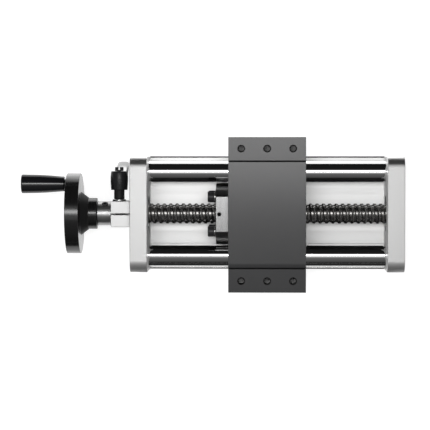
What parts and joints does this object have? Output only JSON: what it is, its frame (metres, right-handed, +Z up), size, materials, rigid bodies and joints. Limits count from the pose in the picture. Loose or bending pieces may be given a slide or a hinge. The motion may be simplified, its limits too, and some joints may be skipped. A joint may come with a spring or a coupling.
{
  "type": "linear stage actuator",
  "caption": "Hand-driven ball screw linear stage: a drilled table on twin guide shafts between end plates, with handwheel, crank handle and clamp lever.",
  "frame": {"origin": "on the mounting face, under the screw's axis, midway between the end plates", "axes": "X along the screw with the handwheel at -X, Y across the stage, Z up from the mounting face"},
  "size_m": [0.2999, 0.12, 0.066],
  "materials": {
    "base_aluminium": "clear anodised, lightly brushed along its length",
    "plate_aluminium": "clear anodised, fine matte",
    "block_aluminium": "clear anodised, fine matte",
    "table_anodised": "black anodised, satin",
    "ground_shaft": "ground and polished hard chrome",
    "screw_steel": "rolled ball screw thread, oiled",
    "nut_steel": "ground face, turned edge",
    "bearing_steel": "ground bearing steel",
    "spring_steel": "oiled spring steel",
    "washer_steel": "bright zinc",
    "sleeve_steel": "fine turned steel",
    "black_steel": "black oxide",
    "wheel_resin": "moulded phenolic, turned rim",
    "handle_resin": "polished moulded phenolic",
    "lever_resin": "moulded resin, satin"
  },
  "bodies": {
    "frame": {"base_plate": "base_aluminium", "drive_end_plate": "plate_aluminium", "idle_end_plate": "plate_aluminium", "base_screws": "black_steel", "shaft_screws": "black_steel", "front_guide_shaft": "ground_shaft", "rear_guide_shaft": "ground_shaft", "ball_bearings": "bearing_steel", "clamp_block": "plate_aluminium", "clamp_block_screws": "black_steel", "clamp_washer": "washer_steel"},
    "carriage": {"carriage_block": "block_aluminium", "carriage_table": "table_anodised", "table_screws": "black_steel", "linear_bushings": "bearing_steel", "ball_nut": "nut_steel", "nut_screws": "black_steel", "nut_spring_washers": "washer_steel"},
    "screw": {"ball_screw": "screw_steel", "drive_sleeve": "sleeve_steel", "sleeve_set_screw": "black_steel", "handwheel": "wheel_resin", "handle_spindle": "black_steel"},
    "handle": {"crank_handle": "handle_resin"},
    "clamp_stud": {"clamp_stud": "black_steel", "lever_cap_screw": "black_steel", "lever_spring": "spring_steel"},
    "clamp_lever": {"clamp_lever": "lever_resin"}
  },
  "joints": [
    {"name": "carriage_slide", "type": "slide", "parent": "frame", "child": "carriage", "axis": [1, 0, 0], "range_m": [-0.042, 0.058]},
    {"name": "screw_spin", "type": "hinge", "parent": "frame", "child": "screw", "pos_m": [0, 0, 0.033], "axis": [1, 0, 0], "range_deg": [-4177, 3025]},
    {"name": "handle_spin", "type": "hinge", "parent": "screw", "child": "handle", "pos_m": [-0.176, 0.0232, 0.033], "axis": [1, 0, 0], "continuous": true},
    {"name": "clamp_turn", "type": "hinge", "parent": "frame", "child": "clamp_stud", "pos_m": [-0.1155, 0.02, 0.045], "axis": [0, 1, 0], "range_deg": [0, 60]},
    {"name": "lever_pull", "type": "slide", "parent": "clamp_stud", "child": "clamp_lever", "axis": [0, 1, 0], "range_m": [0, 0.003], "stiffness_N_per_m": 900, "springref_m": -0.002, "deforming": ["lever_spring"]}
  ],
  "couplings": [
    {"joint": "screw_spin", "follows": "carriage_slide", "rad_per_m": -1256.6}
  ]
}
